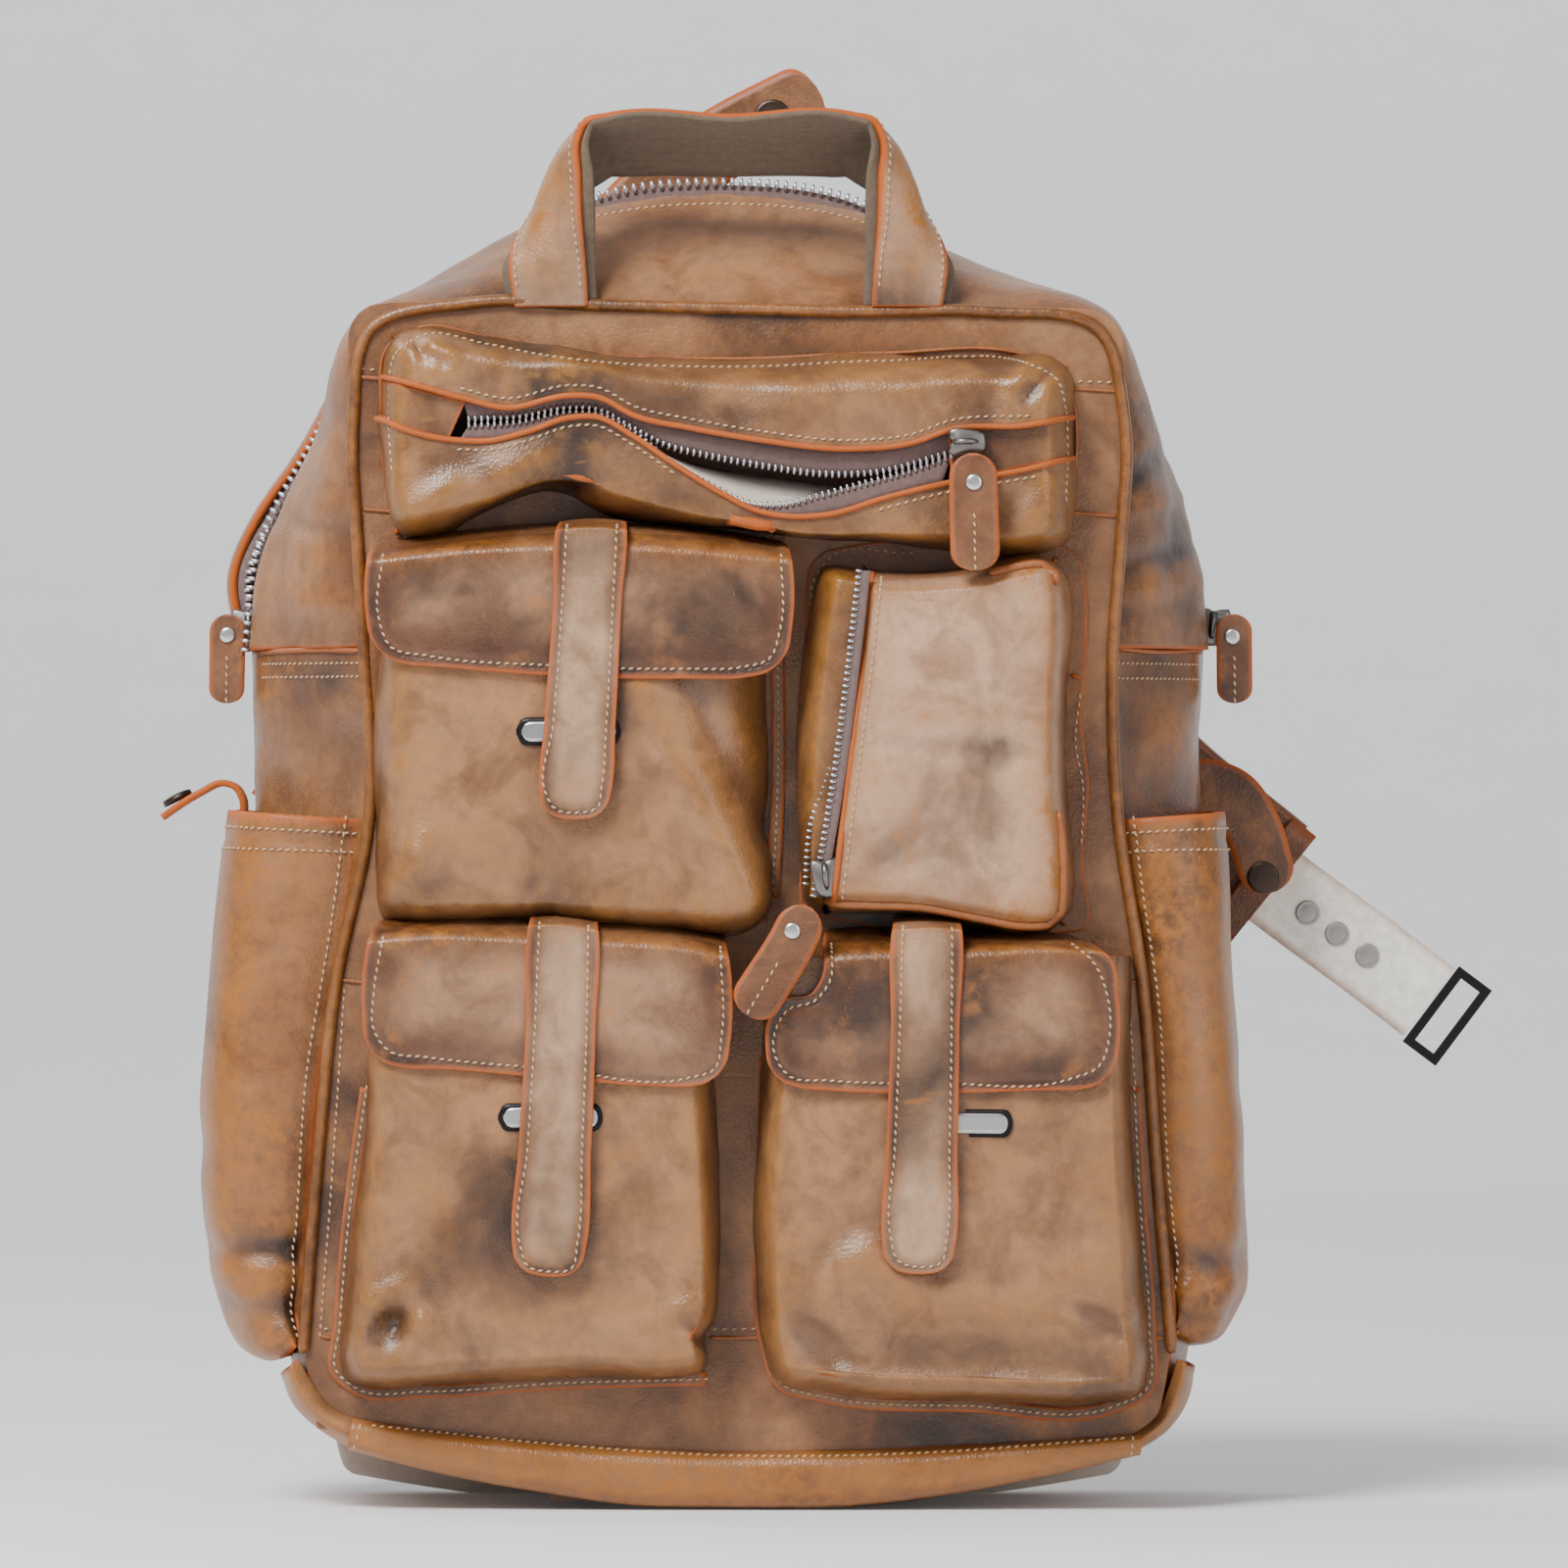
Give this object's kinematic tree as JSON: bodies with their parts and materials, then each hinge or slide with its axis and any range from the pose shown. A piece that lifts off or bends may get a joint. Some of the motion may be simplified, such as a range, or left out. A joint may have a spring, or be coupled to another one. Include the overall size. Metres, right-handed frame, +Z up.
{
  "type": "leather backpack",
  "caption": "Brown waxed leather backpack with an arched two-way main zip, flap and zip pockets on the front, side pockets, a top handle and shoulder straps.",
  "frame": {"origin": "centre of the flat of the base, where the bag stands on the ground", "axes": "+Z up along the height, front of the bag towards -Y, +X to the right seen from the front"},
  "size_m": [0.4523, 0.1644, 0.4815],
  "materials": {
    "panel_leather": "waxed pull-up leather, worn",
    "base_leather": "waxed pull-up leather, dark and scuffed",
    "piping_leather": "burnished edge",
    "pocket_leather": "waxed pull-up leather, worn",
    "flap_leather": "waxed pull-up leather, worn",
    "side_leather": "waxed pull-up leather, worn",
    "strap_leather": "waxed pull-up leather, orange cut edges",
    "pull_leather": "waxed pull-up leather, rubbed light",
    "webbing": "woven cotton",
    "zip_tape": "woven tape with metal teeth",
    "lining": "plain woven cotton",
    "mesh": "air mesh over foam",
    "board": "stiffener board",
    "zip_metal": "satin",
    "plate_metal": "satin",
    "rivet_metal": "satin",
    "black_metal": "satin black"
  },
  "bodies": {
    "bag": {"front_panel": "panel_leather", "upper_gusset": "panel_leather", "left_gusset": "panel_leather", "right_gusset": "panel_leather", "base_panel": "base_leather", "base_board": "board", "back_panel": "panel_leather", "back_gusset": "panel_leather", "back_pads": "mesh", "laptop_divider": "lining", "front_piping": "piping_leather", "main_zip_front": "zip_tape", "main_zip_back": "zip_tape", "top_pocket": "pocket_leather", "top_pocket_zip": "zip_tape", "zip_pocket": "pocket_leather", "zip_pocket_backing": "pocket_leather", "zip_pocket_zip": "zip_tape", "upper_left_pocket": "pocket_leather", "lower_left_pocket": "pocket_leather", "lower_right_pocket": "pocket_leather", "closure_plates": "plate_metal", "flap_folds": "flap_leather", "left_side_pocket": "side_leather", "right_side_pocket": "side_leather", "strap_yoke": "panel_leather", "ring_tabs": "strap_leather", "strap_rings": "black_metal"},
    "handle": {"handle_leather": "strap_leather", "handle_webbing": "webbing"},
    "closing_tab": {"top_tab": "strap_leather", "top_tab_snap": "black_metal"},
    "right_zip_slider": {"main_slider_right": "zip_metal"},
    "right_zip_pull": {"main_pull_right": "pull_leather", "main_pull_right_rivet": "rivet_metal"},
    "left_zip_slider": {"main_slider_left": "zip_metal"},
    "left_zip_pull": {"main_pull_left": "pull_leather"},
    "top_zip_slider": {"top_pocket_slider": "zip_metal"},
    "top_zip_pull": {"top_pocket_pull": "pull_leather", "top_pocket_pull_rivet": "rivet_metal"},
    "side_zip_slider": {"zip_pocket_slider": "zip_metal"},
    "side_zip_pull": {"zip_pocket_pull": "pull_leather", "zip_pocket_pull_rivet": "rivet_metal"},
    "upper_left_cover": {"upper_left_flap": "flap_leather", "upper_left_strap": "strap_leather"},
    "lower_left_cover": {"lower_left_flap": "flap_leather", "lower_left_strap": "strap_leather"},
    "lower_right_cover": {"lower_right_flap": "flap_leather", "lower_right_strap": "strap_leather"},
    "left_side_tab": {"left_side_strap": "strap_leather", "left_side_snap": "black_metal"},
    "right_side_tab": {"right_side_strap": "strap_leather", "right_side_snap": "black_metal"},
    "right_strap": {"right_shoulder_strap": "mesh", "right_adjuster": "lining"},
    "right_loop": {"right_strap_loop": "black_metal"},
    "left_strap": {"left_shoulder_strap": "mesh", "left_adjuster": "lining"},
    "left_loop": {"left_strap_loop": "black_metal"}
  },
  "joints": [
    {"name": "handle_swing", "type": "hinge", "parent": "bag", "child": "handle", "pos_m": [0, -0.056, 0.4067], "axis": [1, 0, 0], "range_deg": [-30, 75]},
    {"name": "closing_tab_fold", "type": "hinge", "parent": "bag", "child": "closing_tab", "pos_m": [-0.048, 0.0573, 0.4093], "axis": [-1, 0, 0], "range_deg": [0, 75]},
    {"name": "right_zip_travel", "type": "hinge", "parent": "bag", "child": "right_zip_slider", "pos_m": [0, 0.013, 0.28], "axis": [0, -1, 0], "range_deg": [0, 82]},
    {"name": "right_pull_swing", "type": "hinge", "parent": "right_zip_slider", "child": "right_zip_pull", "pos_m": [0.1685, 0.0043, 0.2965], "axis": [0, -1, 0], "range_deg": [0, 90]},
    {"name": "left_zip_travel", "type": "hinge", "parent": "bag", "child": "left_zip_slider", "pos_m": [0, 0.013, 0.28], "axis": [0, 1, 0], "range_deg": [0, 82]},
    {"name": "left_pull_swing", "type": "hinge", "parent": "left_zip_slider", "child": "left_zip_pull", "pos_m": [-0.1685, 0.0043, 0.2965], "axis": [0, 1, 0], "range_deg": [0, 90]},
    {"name": "top_zip_travel", "type": "slide", "parent": "bag", "child": "top_zip_slider", "axis": [-1, 0, 0], "range_m": [0, 0.149]},
    {"name": "top_pull_lift", "type": "hinge", "parent": "top_zip_slider", "child": "top_zip_pull", "pos_m": [0.079, -0.0963, 0.35], "axis": [-1, 0, 0], "range_deg": [0, 100]},
    {"name": "side_zip_travel", "type": "slide", "parent": "bag", "child": "side_zip_slider", "axis": [0.1157, 0, 0.9933], "range_m": [0, 0.089]},
    {"name": "side_pull_lift", "type": "hinge", "parent": "side_zip_slider", "child": "side_zip_pull", "pos_m": [0.026, -0.0965, 0.2032], "axis": [-1, 0, 0], "range_deg": [0, 100]},
    {"name": "upper_left_flap_fold", "type": "hinge", "parent": "bag", "child": "upper_left_cover", "pos_m": [-0.05, -0.0909, 0.3182], "axis": [-1, 0, 0], "range_deg": [0, 115]},
    {"name": "lower_left_flap_fold", "type": "hinge", "parent": "bag", "child": "lower_left_cover", "pos_m": [-0.06, -0.0909, 0.1852], "axis": [-1, 0, 0], "range_deg": [0, 110]},
    {"name": "lower_right_flap_fold", "type": "hinge", "parent": "bag", "child": "lower_right_cover", "pos_m": [0.072, -0.0909, 0.1852], "axis": [-1, 0, 0], "range_deg": [0, 110]},
    {"name": "left_side_tab_bend", "type": "hinge", "parent": "bag", "child": "left_side_tab", "pos_m": [-0.162, -0.007, 0.233], "axis": [0, 1, 0], "range_deg": [-12, 18]},
    {"name": "right_side_tab_bend", "type": "hinge", "parent": "bag", "child": "right_side_tab", "pos_m": [0.1547, 0.0368, 0.238], "axis": [0, 0, 1], "range_deg": [0, 30]},
    {"name": "right_strap_swing", "type": "hinge", "parent": "bag", "child": "right_strap", "pos_m": [0.042, 0.0618, 0.4066], "axis": [1, 0, 0], "range_deg": [0, 60]},
    {"name": "right_loop_turn", "type": "hinge", "parent": "right_strap", "child": "right_loop", "pos_m": [0.24032, 0.063, 0.16476], "axis": [0.6, 0, 0.8], "range_deg": [-80, 80]},
    {"name": "left_strap_swing", "type": "hinge", "parent": "bag", "child": "left_strap", "pos_m": [-0.042, 0.0618, 0.4066], "axis": [1, 0, 0], "range_deg": [0, 60]},
    {"name": "left_loop_turn", "type": "hinge", "parent": "left_strap", "child": "left_loop", "pos_m": [-0.13413, 0.063, 0.06676], "axis": [0.9326, 0, 0.361], "range_deg": [0, 80]}
  ]
}
